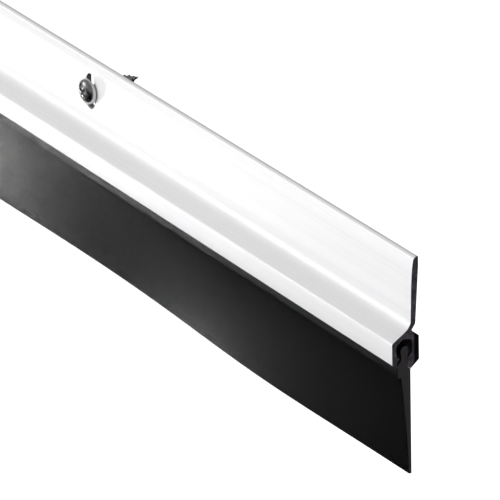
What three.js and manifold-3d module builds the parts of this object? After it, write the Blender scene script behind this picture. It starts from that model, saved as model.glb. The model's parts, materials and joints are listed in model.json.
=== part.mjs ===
// Door sweep: an aluminium retainer screwed to the face of a door, with a rubber insert that slides
// into the retainer's channel and hangs down as a flexible blade to close the gap under the door.
//
// Millimetres. +X runs along the door, +Y points into the door, +Z is up. The door's face is the
// plane y = 0, and the origin is at mid length, half way up the flat back wall of the channel.
// Every section is drawn as (depth, height): depth is measured back from the foremost face of the
// channel, and height is measured up from the tip of the blade.
import * as THREE from "three";
import { mergeVertices } from "three/addons/utils/BufferGeometryUtils.js";
import Module from "manifold-3d";

const wasm = await Module();
wasm.setup();

// Whole sweep
const LENGTH = 914.4; // 36 in, for a standard single door
const DEPTH = 8.2; // channel front to door face
const HEIGHT = 60.6; // blade tip to top of flange
const GAP = 0.3; // clearance between pieces that touch in the real sweep

// Retainer, upper part: a thin flange that leans back to the door, on a sloping web
const FLANGE_FRONT = { low: 5.75, top: 6.3 };
const FLANGE_BACK = { low: 7.1, top: 8.1 };
const FLANGE_FOOT = 42.6;
const WEB_LOW = { depth: 0.85, height: 38.7 };
const WEB_HIGH = { depth: 4.9, height: 41.1 };
const NOTCH = { depth: 5.95, height: 40.4 }; // crease between the flange and the channel's roof

// Retainer, lower part: a C-shaped channel that is open below, between two lips
const FRONT_WALL = 1.3;
const BACK_WALL = 2.1;
const BACK_WALL_TOP = 38.5;
const BACK_WALL_FOOT = 31.7;
const FRONT_WALL_TOP = 38.15;
const FRONT_WALL_FOOT = 32.1;
const ROOF = { front: 37.25, crown: 38.75, crownDepth: 3.5, back: 37.95 };
const FRONT_LIP = { tip: 2.15, heel: 34.1, top: 33.65, bottom: 33.25, toe: 1.1 };
const BACK_LIP = { tip: 4.8, heel: 34.2, top: 33.0, bottom: 30.8 };
const BACK_LIP_FOOT = { depth: 5.55, height: 30.05 };
const ORIGIN_HEIGHT = (BACK_WALL_TOP + BACK_WALL_FOOT) / 2;

// Radii of the retainer's corners
const SHARP = 0.2;
const EASED = 0.35;
const ROUNDED = 0.8;
const BEND = 2.2; // where the web turns up into the flange

// Adjustment slots and the screws through them
const SLOT_COUNT = 5;
const SLOT_PITCH = LENGTH / (SLOT_COUNT + 1);
const SLOT_HEIGHT = 51.6;
const SLOT_WIDTH = 4.0;
const SLOT_LENGTH = 10.0;
const HEAD_SEAT = 5.7; // depth of the underside of each head
const SCREW = { shankRadius: 1.75, shankLength: 12.5, tipLength: 3.5 };
const HEAD = { radius: 3.6, height: 2.3, rim: 0.9, crown: 0.86 };
const RECESS = { span: 3.6, width: 0.9, depth: 1.5 };

// Rubber insert, upper part: bead inside the channel, neck between the lips, shoulder below them
const BEAD = { front: 2.15, back: 5.15, top: 36.8, bevel: 1.3, frontFoot: 34.8, backFoot: 35.1 };
const BEAD_CORNER = 0.3;
const NECK = { front: 2.8, back: 4.5, top: 34.1, backTop: 33.8, foot: 32.8, backFoot: 30.4 };
const SHOULDER = { front: 1.5, back: 5.3, top: 31.6, backTop: 29.4, bottom: 28.9 };

// Rubber insert, lower part: a tapered blade with a round root in a socket under the shoulder
const BLADE_BACK = SHOULDER.back;
const ROOT_RADIUS = 1.3;
const HINGE = { depth: BLADE_BACK - ROOT_RADIUS, height: 27.0 };
const SOCKET_RADIUS = ROOT_RADIUS + GAP;
const SOCKET_FRONT = 27.6; // height of the socket's front edge
const BLADE_TIP = 0.85; // thickness
const BLADE_THIN_BELOW = 10.0;
const TAPER = { rootPull: 0.5, rootHeight: 22.5, tipPull: 0.35, tipHeight: 15.0 };

const ARC_STEPS = 6;
const ROUND_STEPS = 24;

const aluminium = new THREE.MeshStandardMaterial({ color: 0xe9e8ea, roughness: 0.42, metalness: 0.6 });
const rubber = new THREE.MeshStandardMaterial({ color: 0x17171a, roughness: 0.62, metalness: 0.0 });
const steel = new THREE.MeshStandardMaterial({ color: 0xb9bcc0, roughness: 0.35, metalness: 1.0 });

function mesh(name, geometry, material) {
  const made = new THREE.Mesh(geometry, material.clone());
  made.name = name;
  return made;
}

// A section drawn as (depth, height), extruded along X over the whole length.
function alongDoor(section) {
  const geometry = new THREE.ExtrudeGeometry(section, {
    depth: LENGTH,
    bevelEnabled: false,
    curveSegments: ARC_STEPS,
  });
  const axes = new THREE.Matrix4().makeBasis(
    new THREE.Vector3(0, 1, 0),
    new THREE.Vector3(0, 0, 1),
    new THREE.Vector3(1, 0, 0),
  );
  return geometry.applyMatrix4(axes).translate(-LENGTH / 2, -DEPTH, -ORIGIN_HEIGHT);
}

function toSolid(geometry) {
  const bare = geometry.clone();
  bare.deleteAttribute("normal");
  bare.deleteAttribute("uv");
  const merged = mergeVertices(bare, 1e-4);
  return new wasm.Manifold(
    new wasm.Mesh({
      numProp: 3,
      vertProperties: new Float32Array(merged.attributes.position.array),
      triVerts: new Uint32Array(merged.index.array),
    }),
  );
}

function toGeometry(solid) {
  const { vertProperties, triVerts } = solid.getMesh();
  const geometry = new THREE.BufferGeometry();
  geometry.setAttribute("position", new THREE.BufferAttribute(vertProperties, 3));
  geometry.setIndex(new THREE.BufferAttribute(triVerts, 1));
  const flat = geometry.toNonIndexed();
  flat.computeVertexNormals();
  return flat;
}

// Draws a closed outline through the points. A point with a radius gets a round corner.
function outline(points) {
  const shape = new THREE.Shape();
  points.forEach(([depth, height, radius], i) => {
    const here = new THREE.Vector2(depth, height);
    if (!radius) {
      if (i === 0) shape.moveTo(here.x, here.y);
      else shape.lineTo(here.x, here.y);
      return;
    }
    const [before, after] = [points.at(i - 1), points[(i + 1) % points.length]].map(
      ([x, y]) => new THREE.Vector2(x, y).sub(here),
    );
    const halfAngle = Math.acos(before.dot(after) / (before.length() * after.length())) / 2;
    const reach = radius / Math.tan(halfAngle);
    const start = before.setLength(reach).add(here);
    const end = after.setLength(reach).add(here);
    if (i === 0) shape.moveTo(start.x, start.y);
    else shape.lineTo(start.x, start.y);
    shape.quadraticCurveTo(here.x, here.y, end.x, end.y);
  });
  shape.closePath();
  return shape;
}

function retainerSection() {
  const cavityBack = DEPTH - BACK_WALL;
  return outline([
    [0, FRONT_WALL_FOOT, EASED],
    [FRONT_LIP.toe, FRONT_WALL_FOOT],
    [FRONT_LIP.tip, FRONT_LIP.bottom, SHARP],
    [FRONT_LIP.tip, FRONT_LIP.top, SHARP],
    [FRONT_WALL, FRONT_LIP.heel],
    [FRONT_WALL, ROOF.front, ROUNDED],
    [ROOF.crownDepth, ROOF.crown, ROUNDED],
    [cavityBack, ROOF.back, ROUNDED],
    [cavityBack, BACK_LIP.heel, EASED],
    [BACK_LIP.tip, BACK_LIP.top, SHARP],
    [BACK_LIP.tip, BACK_LIP.bottom, SHARP],
    [BACK_LIP_FOOT.depth, BACK_LIP_FOOT.height, EASED],
    [DEPTH, BACK_WALL_FOOT, EASED],
    [DEPTH, BACK_WALL_TOP, EASED],
    [NOTCH.depth, NOTCH.height, SHARP],
    [FLANGE_BACK.low, FLANGE_FOOT - GAP, BEND],
    [FLANGE_BACK.top, HEIGHT, EASED],
    [FLANGE_FRONT.top, HEIGHT, ROUNDED],
    [FLANGE_FRONT.low, FLANGE_FOOT, BEND],
    [WEB_HIGH.depth, WEB_HIGH.height, BEND],
    [WEB_LOW.depth, WEB_LOW.height, ROUNDED],
    [0, FRONT_WALL_TOP, ROUNDED],
  ]);
}

// A slot-shaped cutter with round ends, standing upright and passing through the flange.
function slotCutter(x) {
  const radius = SLOT_WIDTH / 2;
  const reach = SLOT_LENGTH / 2 - radius; // slot centre to the centre of each round end
  const shape = new THREE.Shape();
  shape.absarc(0, reach, radius, 0, Math.PI);
  shape.absarc(0, -reach, radius, Math.PI, 2 * Math.PI);
  shape.closePath();
  const geometry = new THREE.ExtrudeGeometry(shape, {
    depth: 3 * DEPTH,
    bevelEnabled: false,
    curveSegments: ROUND_STEPS / 2,
  });
  geometry.rotateX(Math.PI / 2).translate(x, DEPTH, SLOT_HEIGHT - ORIGIN_HEIGHT);
  return toSolid(geometry);
}

const slotPositions = Array.from(
  { length: SLOT_COUNT },
  (_, i) => -LENGTH / 2 + (i + 1) * SLOT_PITCH,
);

function makeRetainer() {
  let solid = toSolid(alongDoor(retainerSection()));
  for (const x of slotPositions) solid = solid.subtract(slotCutter(x));
  return mesh("retainer", toGeometry(solid), aluminium);
}

// The part of the insert that the channel holds: bead, neck and shoulder.
function makeInsertBead() {
  const socketRise = Math.sqrt(SOCKET_RADIUS ** 2 - (SHOULDER.back - HINGE.depth) ** 2);
  const backAngle = Math.atan2(socketRise, SHOULDER.back - HINGE.depth);
  const frontAngle = Math.PI - Math.asin((SOCKET_FRONT - HINGE.height) / SOCKET_RADIUS);
  const shape = new THREE.Shape();
  shape.moveTo(BEAD.front, BEAD.frontFoot);
  shape.lineTo(BEAD.front, BEAD.top - BEAD.bevel);
  shape.quadraticCurveTo(
    BEAD.front + BEAD_CORNER,
    BEAD.top - BEAD_CORNER,
    BEAD.front + BEAD.bevel,
    BEAD.top,
  );
  shape.lineTo(BEAD.back - BEAD_CORNER, BEAD.top);
  shape.quadraticCurveTo(BEAD.back, BEAD.top, BEAD.back, BEAD.top - BEAD_CORNER);
  shape.lineTo(BEAD.back, BEAD.backFoot);
  shape.lineTo(NECK.back, NECK.backTop);
  shape.lineTo(NECK.back, NECK.backFoot);
  shape.lineTo(SHOULDER.back, SHOULDER.backTop);
  shape.lineTo(SHOULDER.back, HINGE.height + socketRise);
  shape.absarc(HINGE.depth, HINGE.height, SOCKET_RADIUS, backAngle, frontAngle, false);
  shape.quadraticCurveTo(SHOULDER.front, SOCKET_FRONT, SHOULDER.front, SHOULDER.bottom);
  shape.lineTo(SHOULDER.front, SHOULDER.top);
  shape.lineTo(NECK.front, NECK.foot);
  shape.lineTo(NECK.front, NECK.top);
  shape.closePath();
  return mesh("insert_bead", alongDoor(shape), rubber);
}

// The blade turns about its round root, which sits in the hollow under the bead's shoulder.
function makeInsertBlade() {
  const thinFront = BLADE_BACK - BLADE_TIP;
  const rootFront = HINGE.depth - ROOT_RADIUS;
  const shape = new THREE.Shape();
  shape.moveTo(BLADE_BACK, 0);
  shape.lineTo(BLADE_BACK, HINGE.height);
  shape.absarc(HINGE.depth, HINGE.height, ROOT_RADIUS, 0, Math.PI, false);
  shape.bezierCurveTo(
    rootFront + TAPER.rootPull,
    TAPER.rootHeight,
    thinFront - TAPER.tipPull,
    TAPER.tipHeight,
    thinFront,
    BLADE_THIN_BELOW,
  );
  shape.lineTo(thinFront, 0);
  shape.closePath();
  return mesh("insert_blade", alongDoor(shape), rubber);
}

// A pan-head wood screw along Z: its point is below, and its head sits on the plane z = 0.
function screwGeometry() {
  const profile = [
    new THREE.Vector2(0, -SCREW.shankLength - SCREW.tipLength),
    new THREE.Vector2(SCREW.shankRadius, -SCREW.shankLength),
    new THREE.Vector2(SCREW.shankRadius, 0),
    new THREE.Vector2(HEAD.radius, 0),
  ];
  for (let i = 0; i < ARC_STEPS; i++) {
    const turn = ((i / ARC_STEPS) * Math.PI) / 2;
    const radius = HEAD.radius * Math.cos(turn * HEAD.crown);
    profile.push(new THREE.Vector2(radius, HEAD.rim + (HEAD.height - HEAD.rim) * Math.sin(turn)));
  }
  profile.push(new THREE.Vector2(0, HEAD.height));
  let solid = toSolid(new THREE.LatheGeometry(profile, ROUND_STEPS).rotateX(Math.PI / 2));
  for (const turn of [0, Math.PI / 2]) {
    const bar = new THREE.BoxGeometry(RECESS.span, RECESS.width, 2 * RECESS.depth);
    solid = solid.subtract(toSolid(bar.rotateZ(turn).translate(0, 0, HEAD.height)));
  }
  return toGeometry(solid);
}

function makeScrews() {
  return slotPositions.map((x, i) => {
    const screw = mesh(`screw_${i + 1}`, screwGeometry(), steel);
    screw.rotation.x = Math.PI / 2;
    screw.position.set(x, HEAD_SEAT - DEPTH, SLOT_HEIGHT - ORIGIN_HEIGHT);
    return screw;
  });
}

const sweep = new THREE.Group();
sweep.add(makeRetainer(), makeInsertBead(), makeInsertBlade(), ...makeScrews());

export default sweep;
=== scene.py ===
"""Door sweep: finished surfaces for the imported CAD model, in metres and in its own frame.

+X runs along the door, +Y points into the door, +Z is up. Sections are given in millimetres as
(depth, height): depth is measured back from the front of the channel, height up from the
blade's tip.
"""
import json
import math
import random

import bmesh
import bpy
import numpy as np
from mathutils import Matrix, Vector


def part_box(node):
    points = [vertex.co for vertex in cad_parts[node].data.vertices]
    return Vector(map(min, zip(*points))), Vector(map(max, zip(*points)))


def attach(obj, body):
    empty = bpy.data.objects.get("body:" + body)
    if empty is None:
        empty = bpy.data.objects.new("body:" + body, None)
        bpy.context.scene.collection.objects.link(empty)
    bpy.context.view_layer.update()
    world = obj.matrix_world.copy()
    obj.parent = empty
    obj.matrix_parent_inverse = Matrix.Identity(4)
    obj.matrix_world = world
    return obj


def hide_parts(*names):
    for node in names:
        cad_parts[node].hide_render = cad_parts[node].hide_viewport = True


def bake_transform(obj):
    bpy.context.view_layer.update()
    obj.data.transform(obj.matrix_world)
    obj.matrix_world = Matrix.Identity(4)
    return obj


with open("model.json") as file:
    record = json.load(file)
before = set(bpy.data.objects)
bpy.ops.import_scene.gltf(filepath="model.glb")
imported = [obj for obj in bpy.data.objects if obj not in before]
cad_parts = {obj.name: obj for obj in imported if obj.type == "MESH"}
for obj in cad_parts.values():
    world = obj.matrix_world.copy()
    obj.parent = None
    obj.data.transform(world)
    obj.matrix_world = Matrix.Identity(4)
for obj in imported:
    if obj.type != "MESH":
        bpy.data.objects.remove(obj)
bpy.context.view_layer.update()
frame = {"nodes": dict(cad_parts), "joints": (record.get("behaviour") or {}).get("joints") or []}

MM = 0.001

RETAINER_LOW, RETAINER_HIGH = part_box("retainer")
X_LEFT, X_RIGHT = RETAINER_LOW.x, RETAINER_HIGH.x
FRONT_Y = RETAINER_LOW.y
TIP_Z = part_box("insert_blade")[0].z
DEPTH = (RETAINER_HIGH.y - RETAINER_LOW.y) / MM
HEIGHT = (RETAINER_HIGH.z - TIP_Z) / MM
SCREW_NODES = sorted(name for name in frame["nodes"] if name.startswith("screw_"))
SCREW_BOXES = {name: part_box(name) for name in SCREW_NODES}
SCREW_X = [(low.x + high.x) / 2 for low, high in SCREW_BOXES.values()]
HINGE = next(j for j in frame["joints"] if j["name"] == "blade_flex")["pos_m"]


def place(x, depth, height):
    """A point of the frame from its place along the door and its place in the section."""
    return Vector((x, FRONT_Y + depth * MM, TIP_Z + height * MM))


# ---------------------------------------------------------------- camera

# A long lens on the right-hand end: what it is aimed at in the section, the way it looks, how
# far off it stands in metres, and how far it is moved sideways and up from that line.
AIM = {"depth": 4.2, "height": 32.0}
AZIMUTH, ELEVATION, ROLL = (math.radians(a) for a in (57.32, 25.69, -1.48))
DISTANCE = 1.2758
SIDESTEP, RISE = -0.03918, 0.0282
LENS, SENSOR = 366.1, 36
CLIP = (0.05, 60)


def camera_axes():
    """The camera's right, up and backward directions."""
    back = Vector(
        (
            math.sin(AZIMUTH) * math.cos(ELEVATION),
            -math.cos(AZIMUTH) * math.cos(ELEVATION),
            math.sin(ELEVATION),
        )
    )
    level = Vector((math.cos(AZIMUTH), math.sin(AZIMUTH), 0))
    upright = back.cross(level)
    right = level * math.cos(ROLL) + upright * math.sin(ROLL)
    return right, back.cross(right), back


def add_camera():
    right, up, back = camera_axes()
    aim = place(X_RIGHT, AIM["depth"], AIM["height"])
    data = bpy.data.cameras.new("camera")
    data.sensor_width = SENSOR
    data.lens = LENS
    data.clip_start, data.clip_end = CLIP
    camera = bpy.data.objects.new("camera", data)
    bpy.context.scene.collection.objects.link(camera)
    camera.location = aim + back * DISTANCE + right * SIDESTEP + up * RISE
    turn = [[right[i], up[i], back[i], 0] for i in range(3)] + [[0, 0, 0, 1]]
    camera.rotation_mode = "QUATERNION"
    camera.rotation_quaternion = Matrix(turn).to_quaternion()
    bpy.context.scene.camera = camera


# ---------------------------------------------------------------- materials


class Nodes:
    """A material's node tree, with short calls for the nodes that the finishes share."""

    def __init__(self, name):
        self.material = bpy.data.materials.new(name)
        self.material.use_nodes = True
        self.tree = self.material.node_tree
        self.shader = self.tree.nodes["Principled BSDF"]
        self.where = self.tree.nodes.new("ShaderNodeTexCoord").outputs["Object"]

    def link(self, source, target):
        self.tree.links.new(source, target)

    def noise(self, scale, detail=3.0, rough=0.5):
        """Noise over the object's own coordinates, with scale per metre along X, Y and Z."""
        mapping = self.tree.nodes.new("ShaderNodeMapping")
        mapping.inputs["Scale"].default_value = scale
        self.link(self.where, mapping.inputs["Vector"])
        node = self.tree.nodes.new("ShaderNodeTexNoise")
        node.inputs["Scale"].default_value = 1.0
        node.inputs["Detail"].default_value = detail
        node.inputs["Roughness"].default_value = rough
        self.link(mapping.outputs["Vector"], node.inputs["Vector"])
        return node.outputs["Fac"]

    def spread(self, value, low, high, start=0.3, end=0.7):
        """value from start to end becomes low to high."""
        node = self.tree.nodes.new("ShaderNodeMapRange")
        self.link(value, node.inputs["Value"])
        names = ("From Min", "From Max", "To Min", "To Max")
        for name, number in zip(names, (start, end, low, high)):
            node.inputs[name].default_value = number
        return node.outputs["Result"]

    def ramp(self, value, *stops):
        """Colours blended by value, from stops of (value, colour)."""
        node = self.tree.nodes.new("ShaderNodeValToRGB")
        elements = node.color_ramp.elements
        while len(elements) < len(stops):
            elements.new(0.5)
        for element, (at, colour) in zip(elements, stops):
            element.position = at
            element.color = (*colour, 1)
        self.link(value, node.inputs["Fac"])
        return node.outputs["Color"]

    def math(self, operation, a, b):
        node = self.tree.nodes.new("ShaderNodeMath")
        node.operation = operation
        for socket, value in zip(node.inputs, (a, b)):
            if isinstance(value, (int, float)):
                socket.default_value = value
            else:
                self.link(value, socket)
        return node.outputs["Value"]

    def weighed(self, first, second, share):
        """share of the first value and the rest of the second."""
        part = self.math("MULTIPLY", first, share)
        rest = self.math("MULTIPLY", second, 1 - share)
        return self.math("ADD", part, rest)

    def mix(self, factor, first, second):
        node = self.tree.nodes.new("ShaderNodeMix")
        node.data_type = "RGBA"
        self.link(factor, node.inputs["Factor"])
        for name, value in (("A", first), ("B", second)):
            socket = next(s for s in node.inputs if s.name == name and s.type == "RGBA")
            self.link(value, socket)
        return next(s for s in node.outputs if s.type == "RGBA")

    def axis(self, name):
        """One of the object's own coordinates, in metres."""
        node = self.tree.nodes.new("ShaderNodeSeparateXYZ")
        self.link(self.where, node.inputs["Vector"])
        return node.outputs[name]

    def bump(self, height, distance, strength, after=None):
        node = self.tree.nodes.new("ShaderNodeBump")
        node.inputs["Distance"].default_value = distance
        node.inputs["Strength"].default_value = strength
        self.link(height, node.inputs["Height"])
        if after is not None:
            self.link(after, node.inputs["Normal"])
        return node.outputs["Normal"]

    def finish(self, colour, roughness, normal=None, **sockets):
        """Links the three textures, sets the shader's plain sockets and gives the material."""
        linked = {"Base Color": colour, "Roughness": roughness, "Normal": normal}
        for socket, value in linked.items():
            if value is not None:
                self.link(value, self.shader.inputs[socket])
        for name, value in sockets.items():
            self.shader.inputs[name.replace("_", " ")].default_value = value
        return self.material


def anodised_aluminium():
    """Satin and nearly white, with fine lines from the die and a faint cloudiness."""
    n = Nodes("satin_anodised_aluminium")
    die_lines = n.noise((1.5, 2600, 2600), detail=2.0)
    cloud = n.noise((9, 60, 60), detail=4.0)
    grain = n.noise((5200, 9000, 9000), detail=1.0)
    tone = n.weighed(die_lines, cloud, 0.55)
    colour = n.ramp(
        tone,
        (0.3, (0.80, 0.79, 0.805)),
        (0.5, (0.85, 0.842, 0.852)),
        (0.7, (0.885, 0.88, 0.888)),
    )
    rough = n.spread(tone, 0.33, 0.45)
    normal = n.bump(die_lines, distance=0.000012, strength=0.5)
    normal = n.bump(grain, distance=0.000004, strength=0.5, after=normal)
    return n.finish(colour, rough, normal, Metallic=0.3)


# The outer back of the channel's cut end is painted nearly black: behind this depth and below this
# height, with an edge this soft.
DARK_END_ZONE = {"depth": 6.6, "height": 39.9, "soft": 0.25}


def dark_end_mask(n):
    """1 where the cut end is painted nearly black and 0 elsewhere."""
    edge, soft = place(0, DARK_END_ZONE["depth"], DARK_END_ZONE["height"]), DARK_END_ZONE["soft"] * MM
    outer = n.spread(n.axis("Y"), 0.0, 1.0, edge.y - soft, edge.y + soft)
    low = n.spread(n.axis("Z"), 1.0, 0.0, edge.z - soft, edge.z + soft)
    return n.math("MULTIPLY", outer, low)


def sawn_aluminium():
    """Cut ends: bare metal with the marks of the saw, painted nearly black at the channel's back."""
    n = Nodes("sawn_aluminium_end")
    marks = n.noise((0, 1400, 9000))
    blotch = n.noise((900, 900, 900))
    bare = n.ramp(
        n.weighed(marks, blotch, 0.5),
        (0.32, (0.04, 0.034, 0.045)),
        (0.5, (0.11, 0.096, 0.12)),
        (0.68, (0.24, 0.217, 0.25)),
    )
    black = n.ramp(blotch, (0.3, (0.004, 0.0036, 0.005)), (0.7, (0.014, 0.012, 0.016)))
    colour = n.mix(dark_end_mask(n), bare, black)
    rough = n.spread(marks, 0.35, 0.6)
    normal = n.bump(marks, distance=0.00003, strength=0.7)
    return n.finish(colour, rough, normal, Metallic=0.7)


def punched_aluminium():
    """The slots' walls, with the punch's drag marks through the flange."""
    n = Nodes("punched_aluminium_slot")
    drag = n.noise((7000, 300, 7000), detail=2.0)
    colour = n.ramp(drag, (0.3, (0.42, 0.42, 0.43)), (0.7, (0.66, 0.66, 0.67)))
    rough = n.spread(drag, 0.3, 0.5)
    normal = n.bump(drag, distance=0.00002, strength=0.6)
    return n.finish(colour, rough, normal, Metallic=0.9)


def painted_shade_channel_aluminium():
    """The inside of the channel, painted near black as the shade in its recess."""
    n = Nodes("channel_aluminium_with_painted_shade")
    streaks = n.noise((8, 1500, 1500))
    # painted shade: the near-black colour stands in for the shade inside the channel
    colour = n.ramp(streaks, (0.3, (0.02, 0.019, 0.022)), (0.7, (0.07, 0.066, 0.072)))
    rough = n.spread(streaks, 0.5, 0.7)
    normal = n.bump(streaks, distance=0.00002, strength=0.5)
    return n.finish(colour, rough, normal, Metallic=0.3)


def extruded_rubber():
    """Black rubber with faint extrusion lines, a patchy bloom and a fine grain."""
    n = Nodes("extruded_black_rubber")
    lines = n.noise((3, 1800, 1800))
    bloom = n.noise((14, 70, 45), detail=5.0, rough=0.6)
    grain = n.noise((4200, 4200, 4200), detail=2.0)
    tone = n.weighed(lines, bloom, 0.35)
    colour = n.ramp(
        tone,
        (0.3, (0.001, 0.001, 0.0011)),
        (0.55, (0.0016, 0.0016, 0.0017)),
        (0.75, (0.003, 0.003, 0.0031)),
    )
    rough = n.spread(tone, 0.25, 0.262)
    normal = n.bump(lines, distance=0.000004, strength=0.3)
    normal = n.bump(grain, distance=0.000002, strength=0.2, after=normal)
    return n.finish(colour, rough, normal, Specular_IOR_Level=0.3)


def cut_rubber():
    """The insert's cut ends, matt and a little paler than its skin."""
    n = Nodes("cut_rubber_end")
    tear = n.noise((2500, 1500, 5000), detail=4.0, rough=0.65)
    colour = n.ramp(tear, (0.3, (0.012, 0.0117, 0.0125)), (0.7, (0.034, 0.0325, 0.035)))
    rough = n.spread(tear, 0.6, 0.8)
    normal = n.bump(tear, distance=0.00005, strength=0.6)
    return n.finish(colour, rough, normal, Specular_IOR_Level=0.4)


def zinc_steel():
    """Bright zinc plating, cloudy and slightly yellow in places."""
    n = Nodes("zinc_plated_steel")
    cloud = n.noise((500, 500, 500), detail=4.0)
    fine = n.noise((6000, 6000, 6000), detail=2.0)
    colour = n.ramp(
        cloud,
        (0.3, (0.50, 0.51, 0.54)),
        (0.5, (0.62, 0.62, 0.63)),
        (0.7, (0.70, 0.69, 0.66)),
    )
    rough = n.spread(cloud, 0.2, 0.36)
    normal = n.bump(fine, distance=0.000008, strength=0.5)
    return n.finish(colour, rough, normal, Metallic=1.0)


def floor_paint():
    """White, and glowing enough to be pure white in the picture."""
    n = Nodes("pale_floor")
    cloud = n.noise((1.2, 1.2, 1.2))
    colour = n.ramp(cloud, (0.3, (0.90, 0.90, 0.905)), (0.7, (0.92, 0.92, 0.92)))
    return n.finish(
        colour,
        n.spread(cloud, 0.85, 0.95),
        Specular_IOR_Level=0.1,
        Emission_Color=(1, 1, 1, 1),
        Emission_Strength=0.97,
    )


# ---------------------------------------------------------------- outlines and meshes

ARC_STEP = 0.12
SHARP_ANGLE = {"retainer": 28, "insert": 35, "screw": 32}


def rounded(corners):
    """A closed outline of (depth, height) points from corners of (depth, height, radius)."""
    made = []
    count = len(corners)
    for i, (depth, height, radius) in enumerate(corners):
        here = np.array((depth, height))
        if not radius:
            made.append(here)
            continue
        before = np.array(corners[i - 1][:2]) - here
        after = np.array(corners[(i + 1) % count][:2]) - here
        made += arc(here, before, after, radius)
    return np.array(made)


def arc(here, before, after, radius):
    """Points that round the corner at here, between the ways to the corners on either side."""
    before, after = before / np.linalg.norm(before), after / np.linalg.norm(after)
    half = math.acos(np.clip(before @ after, -1, 1)) / 2
    middle = (before + after) / np.linalg.norm(before + after)
    centre = here + middle * radius / math.sin(half)
    start = here + before * radius / math.tan(half) - centre
    end = here + after * radius / math.tan(half) - centre
    sweep = math.pi - 2 * half
    steps = max(2, math.ceil(sweep * radius / ARC_STEP))
    points = []
    for k in range(steps + 1):
        share = k / steps
        near_start = math.sin((1 - share) * sweep) / math.sin(sweep)
        near_end = math.sin(share * sweep) / math.sin(sweep)
        points.append(centre + start * near_start + end * near_end)
    return points


def resampled(outline, step):
    """The outline with long straight runs split, so that they can bend."""
    made = []
    for a, b in zip(outline, np.roll(outline, -1, axis=0)):
        pieces = max(1, math.ceil(np.linalg.norm(b - a) / step))
        made += [a + (b - a) * k / pieces for k in range(pieces)]
    return np.array(made)


def shrunk(outline, amount):
    """The outline moved inwards by amount along its own normals."""
    ahead, behind = np.roll(outline, -1, axis=0), np.roll(outline, 1, axis=0)
    along = ahead - behind
    along /= np.linalg.norm(along, axis=1)[:, None]
    area = np.cross(outline, ahead).sum()
    inward = np.stack([-along[:, 1], along[:, 0]], axis=1) * np.sign(area)
    return outline + inward * amount


def skinned(name, rings):
    """A closed mesh over rings of points, all of one length, capped at both ends."""
    mesh = bmesh.new()
    rings = [[mesh.verts.new(point) for point in ring] for ring in rings]
    for a, b in zip(rings, rings[1:]):
        for k in range(len(a)):
            mesh.faces.new((a[k - 1], a[k], b[k], b[k - 1]))
    mesh.faces.new(rings[0])
    mesh.faces.new(list(reversed(rings[-1])))
    bmesh.ops.recalc_face_normals(mesh, faces=mesh.faces)
    return to_object(name, mesh)


def swept(name, outline, stations, shift=None):
    """The outline at each station (x, inset in mm), with each point moved by shift."""
    rings = []
    for x, inset in stations:
        section = shrunk(outline, inset) if inset else outline
        if shift:
            section = [shift(x, depth, height) for depth, height in section]
        rings.append([place(x, depth, height) for depth, height in section])
    return skinned(name, rings)


def to_object(name, mesh):
    data = bpy.data.meshes.new(name)
    mesh.to_mesh(data)
    mesh.free()
    made = bpy.data.objects.new(name, data)
    bpy.context.scene.collection.objects.link(made)
    return made


def smooth(obj, degrees):
    """Shaded smooth, apart from edges sharper than this."""
    obj.data.shade_smooth()
    obj.data.set_sharp_from_angle(angle=math.radians(degrees))


def cut_away(body, cutters):
    """Takes each cutter's shape out of the body, and the cutters out of the scene."""
    for cutter in cutters:
        cut = body.modifiers.new(cutter.name, "BOOLEAN")
        cut.operation, cut.solver, cut.object = "DIFFERENCE", "EXACT", cutter
    depsgraph = bpy.context.evaluated_depsgraph_get()
    data = bpy.data.meshes.new_from_object(body.evaluated_get(depsgraph))
    body.modifiers.clear()
    body.data = data
    for cutter in cutters:
        bpy.data.objects.remove(cutter)


# ---------------------------------------------------------------- retainer

BACK_WALL = 2.1
RETAINER_CHAMFER = 0.05
# Corners of the section, as (depth, height, radius).
RETAINER_CORNERS = [
    # the front wall's foot and its lip
    (0, 32.1, 0.3),
    (1.1, 32.1, 0.12),
    (2.15, 33.25, 0.2),
    (2.15, 33.65, 0.2),
    (1.3, 34.1, 0.3),
    # the channel's inside, over the bead
    (1.3, 37.25, 0.8),
    (3.5, 38.75, 1.2),
    (DEPTH - BACK_WALL, 37.95, 0.8),
    (DEPTH - BACK_WALL, 34.3, 0.4),
    # the back lip, which slopes down to the insert's shoulder
    (4.7, 33.0, 0.3),
    (4.7, 30.6, 0.3),
    (5.58, 29.8, 0.1),
    # the back wall, which lies on the door
    (DEPTH, 31.83, 0.4),
    (DEPTH, 38.5, 0.4),
    # the notch behind the flange's foot
    (5.95, 40.45, 0.25),
    (7.15, 42.05, 1.8),
    # the flange, up its back and down its front
    (DEPTH, 58.0, 8.0),
    (DEPTH, HEIGHT, 0.3),
    (6.85, HEIGHT, 1.3),
    (6.35, 57.8, 3.0),
    (6.0, 53.0, 8.0),
    (5.72, 42.4, 2.2),
    # the sloping web, down to the front wall's top
    (4.6, 40.82, 4.0),
    (0.85, 38.7, 0.6),
    (0, 38.15, 0.6),
]
# Faces that line the channel round the bead: least and most depth, least and most height.
CHANNEL_FACES = [(1.2, DEPTH - 2.05, 32.2, 38.8), (1.2, 5.5, 0, 34)]
# The slots' middle height and size, the flange's faces there, and the easing of their edges.
# The cutter flares past each face by FLARE, and a slot's faces are found within FIND of it.
SLOT = {"height": 51.6, "width": 4.0, "length": 10.0, "front": 6.0, "back": 7.75}
EASED, FLARE, FIND = 0.18, 3, 0.4
SLOT_STEPS = 20
ANODISED, SAWN, PUNCHED, CHANNEL = range(4)


def slot_ring(x, depth, radius):
    """An upright slot's outline at this depth: two half circles, one over the other."""
    reach = (SLOT["length"] - SLOT["width"]) / 2
    ring = []
    for end, start in ((1, 0.0), (-1, math.pi)):
        for k in range(SLOT_STEPS + 1):
            angle = start + math.pi * k / SLOT_STEPS
            height = SLOT["height"] + end * reach + radius * math.sin(angle)
            ring.append(place(x + radius * math.cos(angle) * MM, depth, height))
    return ring


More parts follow.
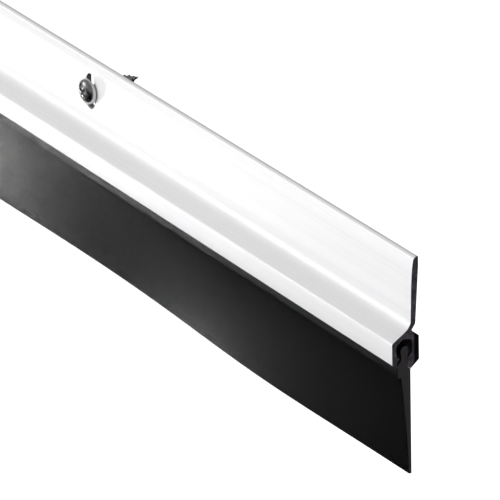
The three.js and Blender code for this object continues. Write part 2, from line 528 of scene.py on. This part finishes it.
def slot_cutter(x):
    """An upright slot through the flange, flared at both faces to leave an eased edge."""
    half = SLOT["width"] / 2
    layers = [
        (SLOT["front"] - FLARE, half + EASED + FLARE),
        (SLOT["front"] + EASED, half),
        (SLOT["back"] - EASED, half),
        (SLOT["back"] + FLARE, half + EASED + FLARE),
    ]
    return skinned("slot_cutter", [slot_ring(x, depth, radius) for depth, radius in layers])


def retainer_finish(face):
    """Which finish a face of the retainer has, by where it is and which way it faces."""
    at = face.center
    from_end = min(at.x - X_LEFT, X_RIGHT - at.x)
    if from_end < RETAINER_CHAMFER * MM and abs(face.normal.x) > 0.3:
        return SAWN
    across = min(abs(at.x - x) for x in SCREW_X)
    along = abs(at.z - place(0, 0, SLOT["height"]).z)
    near_slot = across < (SLOT["width"] / 2 + FIND) * MM and along < (SLOT["length"] / 2 + FIND) * MM
    if near_slot and abs(face.normal.y) < 0.8:
        return PUNCHED
    depth, height = (at.y - FRONT_Y) / MM, (at.z - TIP_Z) / MM
    for least_depth, most_depth, least_height, most_height in CHANNEL_FACES:
        if least_depth < depth < most_depth and least_height < height < most_height:
            return CHANNEL
    return ANODISED


def make_retainer():
    chamfer = RETAINER_CHAMFER
    stations = [
        (X_LEFT, chamfer),
        (X_LEFT + chamfer * MM, 0),
        (X_RIGHT - chamfer * MM, 0),
        (X_RIGHT, chamfer),
    ]
    body = swept("retainer_extrusion", rounded(RETAINER_CORNERS), stations)
    cut_away(body, [slot_cutter(x) for x in SCREW_X])
    for finish in (anodised_aluminium, sawn_aluminium, punched_aluminium, painted_shade_channel_aluminium):
        body.data.materials.append(finish())
    for face in body.data.polygons:
        face.material_index = retainer_finish(face)
    smooth(body, SHARP_ANGLE["retainer"])
    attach(body, "retainer")
    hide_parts("retainer")


# ---------------------------------------------------------------- rubber insert

INSERT_CHAMFER = 0.06
INSERT_STATIONS = 190
INSERT_STEP = 0.9
BLADE_BACK, TIP_THICKNESS = 5.53, 0.85
# Corners as (depth, height, radius): the bead's top, the neck, the shoulder under the back
# lip, and the blade's flat back down to its tip.
INSERT_BACK = [
    (2.5, 34.6, 0.3),
    (2.5, 36.7, 1.3),
    (4.95, 36.7, 0.9),
    (4.95, 34.6, 0.5),
    (4.66, 33.6, 0.4),
    (4.67, 30.585, 0.3),
    (BLADE_BACK, 29.81, 0.06),
    (BLADE_BACK, 0, 0.15),
]
# The blade's front: a Bezier curve from near its tip up to its root.
TAPER = [(BLADE_BACK - TIP_THICKNESS, 0.2), (4.5, 8.0), (3.7, 19.0), (2.7, 27.0)]
TAPER_STEPS = 24
# The shoulder's front, under the front lip, and the neck.
INSERT_FRONT = [
    (2.5, 28.2, 0.5),
    (1.5, 27.9, 0.6),
    (1.5, 31.75, 0.3),
    (2.75, 33.1, 0.3),
    (2.75, 34.1, 0.3),
]
# The wave of the free blade: two sines along it, in mm, that swell and fade with the distance
# from the near end, and that start at a height and grow towards the tip.
WAVE = {"half_length": 104.0, "first": -1.075, "second": 0.19, "starts": 26.0, "power": 1.6}
SWELL = {"steady": 0.8, "change": 0.2, "length": 190.0}
# The unevenness of the blade's lower edge: how much, over what length, and how far up.
RAGGED = {"size": 0.05, "length": 12.7, "up": 3.0}
# A bend would start this far above the hinge and end this far below the tip; the blade is not bent.
BEND_ABOVE, BEND_BELOW = 0.8, 4


def taper_points():
    points = []
    start, pull_start, pull_end, end = (np.array(point) for point in TAPER)
    for k in range(TAPER_STEPS + 1):
        t = k / TAPER_STEPS
        point = (
            start * (1 - t) ** 3
            + pull_start * 3 * t * (1 - t) ** 2
            + pull_end * 3 * t * t * (1 - t)
            + end * t**3
        )
        points.append((point[0], point[1], 0))
    return points


def blade_wave(x, depth, height):
    """The hanging blade isn't flat: its lower half waves a millimetre to and fro."""
    along = (X_RIGHT - x) / MM
    phase = math.pi * along / WAVE["half_length"]
    bow = WAVE["first"] * math.sin(phase) + WAVE["second"] * math.sin(2 * phase)
    bow *= SWELL["steady"] + SWELL["change"] * math.cos(along / SWELL["length"])
    free = max(0.0, 1 - height / WAVE["starts"]) ** WAVE["power"]
    near_edge = math.exp(-height / RAGGED["up"])
    edge = RAGGED["size"] * math.sin(along / RAGGED["length"]) * near_edge
    return depth + bow * free, height + edge


def make_insert():
    outline = resampled(rounded([*INSERT_BACK, *taper_points(), *INSERT_FRONT]), INSERT_STEP)
    inset = INSERT_CHAMFER * MM
    inner = np.linspace(X_LEFT + inset, X_RIGHT - inset, INSERT_STATIONS)
    ends = [(X_LEFT, INSERT_CHAMFER), (X_RIGHT, INSERT_CHAMFER)]
    stations = [ends[0], *[(x, 0) for x in inner], ends[1]]
    body = swept("rubber_insert", outline, stations, blade_wave)
    body.data.materials.append(extruded_rubber())
    body.data.materials.append(cut_rubber())
    for face in body.data.polygons:
        face.material_index = 1 if abs(face.normal.x) > 0.9 else 0
    smooth(body, SHARP_ANGLE["insert"])
    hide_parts("insert_bead", "insert_blade")
    start = Vector(HINGE) + Vector((0, 0, BEND_ABOVE * MM))
    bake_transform(body)


# ---------------------------------------------------------------- screws

SIDES = 40
HEAD = {"radius": 3.6, "height": 2.3, "rim": 0.75, "eased": 0.12, "steps": 8, "crown": 0.92}
# The shank: its core, a thicker plain neck under the head, a thread that grows out over its
# first millimetre or so, and a point that narrows over the last few.
SHANK = {"core": 1.25, "neck": 1.6, "neck_extra": 0.25, "point": 3.6, "finest": 0.03}
THREAD = {"height": 0.5, "pitch": 1.35, "half_width": 0.28, "grows_over": 1.2}
SHANK_SPACING = 0.15
# The cross recess: arm reach at the top and at the floor, half an arm's width, and depth.
# The cutter stands proud of the crown, and is wider there.
RECESS = {"reach": 2.0, "floor_reach": 0.75, "half": 0.48, "narrowing": 0.6, "depth": 1.45}
RECESS_PROUD = {"height": 0.4, "reach": 0.25, "half": 0.08}
TURN_SEED = 7


def head_profile():
    """Radius and height of the pan head, from its rim underneath to its crown."""
    radius, height, rim, eased = (HEAD[name] for name in ("radius", "height", "rim", "eased"))
    rows = [(radius - eased, 0.0), (radius, eased), (radius, rim)]
    for k in range(1, HEAD["steps"] + 1):
        turn = k / HEAD["steps"] * math.pi / 2
        narrowed = radius * math.cos(turn * HEAD["crown"])
        rows.append((narrowed, rim + (height - rim) * math.sin(turn)))
    return rows


def shank_radius(below, share, length):
    """The shank's radius this far below the head's seat and this share of a turn round it."""
    if below <= SHANK["neck"]:
        return SHANK["core"] + SHANK["neck_extra"]
    phase = (below / THREAD["pitch"] - share) % 1.0
    ridge = max(0.0, 1 - abs(phase - 0.5) / THREAD["half_width"])
    grown = min(1.0, (below - SHANK["neck"]) / THREAD["grows_over"])
    pointed = min(1.0, (length - below) / SHANK["point"])
    radius = (SHANK["core"] + THREAD["height"] * ridge * grown) * pointed
    return max(radius, SHANK["finest"])


def screw_profile(length):
    """Rows of (height above the seat, radius at each side), from the point to the crown."""
    shares = [s / SIDES for s in range(SIDES)]
    count = int(length / SHANK_SPACING)
    rows = []
    for k in range(count, -1, -1):
        below = k * length / count
        rows.append((-below, [shank_radius(below, share, length) for share in shares]))
    rows += [(height, [radius] * SIDES) for radius, height in head_profile()]
    return rows


def screw_body(node, turn):
    """A screw turned about its axis by turn, from its point in the door to its crown."""
    low, high = SCREW_BOXES[node]
    centre = (low + high) / 2
    seat = low.y + HEAD["height"] * MM
    rings = []
    for height, radii in screw_profile((high.y - seat) / MM):
        ring = []
        for s, radius in enumerate(radii):
            angle = 2 * math.pi * s / SIDES + turn
            x = centre.x + radius * math.cos(angle) * MM
            z = centre.z + radius * math.sin(angle) * MM
            ring.append((x, seat - height * MM, z))
        rings.append(ring)
    return skinned(node + "_pan_head", rings)


def cross_ring(centre, y, turn, reach, half):
    """A four-armed cross about the screw's axis."""
    ring = []
    for arm in range(4):
        base = turn + arm * math.pi / 2
        for across, out in ((-half, reach), (half, reach), (half, half)):
            x = out * math.cos(base) - across * math.sin(base)
            z = out * math.sin(base) + across * math.cos(base)
            ring.append((centre.x + x * MM, y, centre.z + z * MM))
    return ring


def recess_cutter(node, turn):
    """A cross recess that narrows towards its floor."""
    low, high = SCREW_BOXES[node]
    centre = (low + high) / 2
    top = cross_ring(
        centre,
        low.y - RECESS_PROUD["height"] * MM,
        turn,
        RECESS["reach"] + RECESS_PROUD["reach"],
        RECESS["half"] + RECESS_PROUD["half"],
    )
    floor = cross_ring(
        centre,
        low.y + RECESS["depth"] * MM,
        turn,
        RECESS["floor_reach"],
        RECESS["half"] * RECESS["narrowing"],
    )
    return skinned("recess_cutter", [top, floor])


def make_screws():
    finish = zinc_steel()
    turns = random.Random(TURN_SEED)
    for node in SCREW_NODES:
        turn = turns.uniform(0, math.pi / 2)
        body = screw_body(node, turn)
        cut_away(body, [recess_cutter(node, turn)])
        body.data.materials.append(finish)
        smooth(body, SHARP_ANGLE["screw"])
        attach(body, "door_screws")
        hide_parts(node)


# ---------------------------------------------------------------- stage and light

# How far the floor lies below the blade's tip and how far it reaches, in metres.
FLOOR_DROP, FLOOR_REACH = 1.2, 400.0
# The world's strength against the height of the direction looked in.
WORLD = {"From Min": -0.12, "From Max": 0.12, "To Min": 0.0, "To Max": 0.20}
# What the lamps' places are measured from, in the section at the right-hand end.
LAMP_ORIGIN = {"depth": 0, "height": 35}
# name, place, what it faces, size, watts, whether it shows in reflections
LAMPS = [
    ("front_key", (-0.891, -1.99, 0), (0, 0, 0), (1.2, 1.2), 51, False),
    ("top_key", (-0.305, -0.68, 2.049), (0, 0, 0), (1.2, 1.2), 13.6, False),
    ("end_fill", (2.0, -0.05, 0.1), (0, 0, 0), (1.0, 1.0), 34, False),
    ("left_strip", (-1.6, -0.596, -0.693), (-0.15, 0, -0.15), (0.02, 0.314), 2.09, True),
    ("low_panel", (-0.75, -0.60, -0.20), (-0.06, 0, 0), (0.3, 0.18), 0.29, True),
    ("high_panel", (-0.75, -0.58, 0.20), (-0.06, 0, 0), (0.3, 0.18), 0.71, True),
]


def add_floor():
    """A white floor that neither lights the sweep nor shows in its reflections."""
    mesh = bmesh.new()
    z = TIP_Z - FLOOR_DROP
    signs = ((-1, -1), (1, -1), (1, 1), (-1, 1))
    corners = [(x * FLOOR_REACH, y * FLOOR_REACH, z) for x, y in signs]
    mesh.faces.new([mesh.verts.new(corner) for corner in corners])
    floor = to_object("floor", mesh)
    floor.data.materials.append(floor_paint())
    floor.visible_glossy = False
    floor.visible_diffuse = False


def add_area(name, start, target, size, watts, in_reflections):
    data = bpy.data.lights.new(name, "AREA")
    data.shape = "RECTANGLE"
    data.size, data.size_y = size
    data.energy = watts
    lamp = bpy.data.objects.new(name, data)
    bpy.context.scene.collection.objects.link(lamp)
    lamp.location = start
    lamp.rotation_mode = "QUATERNION"
    lamp.rotation_quaternion = (target - start).to_track_quat("-Z", "Y")
    lamp.visible_camera = False
    lamp.visible_glossy = in_reflections


def add_world():
    """Dim grey above the horizon and black below it."""
    world = bpy.data.worlds.new("studio")
    world.use_nodes = True
    tree = world.node_tree
    where = tree.nodes.new("ShaderNodeTexCoord").outputs["Generated"]
    split = tree.nodes.new("ShaderNodeSeparateXYZ")
    tree.links.new(where, split.inputs["Vector"])
    strength = tree.nodes.new("ShaderNodeMapRange")
    tree.links.new(split.outputs["Z"], strength.inputs["Value"])
    for name, number in WORLD.items():
        strength.inputs[name].default_value = number
    background = tree.nodes["Background"]
    tree.links.new(strength.outputs["Result"], background.inputs["Strength"])
    background.inputs["Color"].default_value = (1, 1, 1, 1)
    bpy.context.scene.world = world


def add_light():
    bpy.context.scene.view_settings.view_transform = "Standard"
    origin = place(X_RIGHT, LAMP_ORIGIN["depth"], LAMP_ORIGIN["height"])
    for name, start, target, size, watts, in_reflections in LAMPS:
        start, target = origin + Vector(start), origin + Vector(target)
        add_area(name, start, target, size, watts, in_reflections)


add_camera()
add_floor()
add_world()
add_light()
make_retainer()
make_insert()
make_screws()
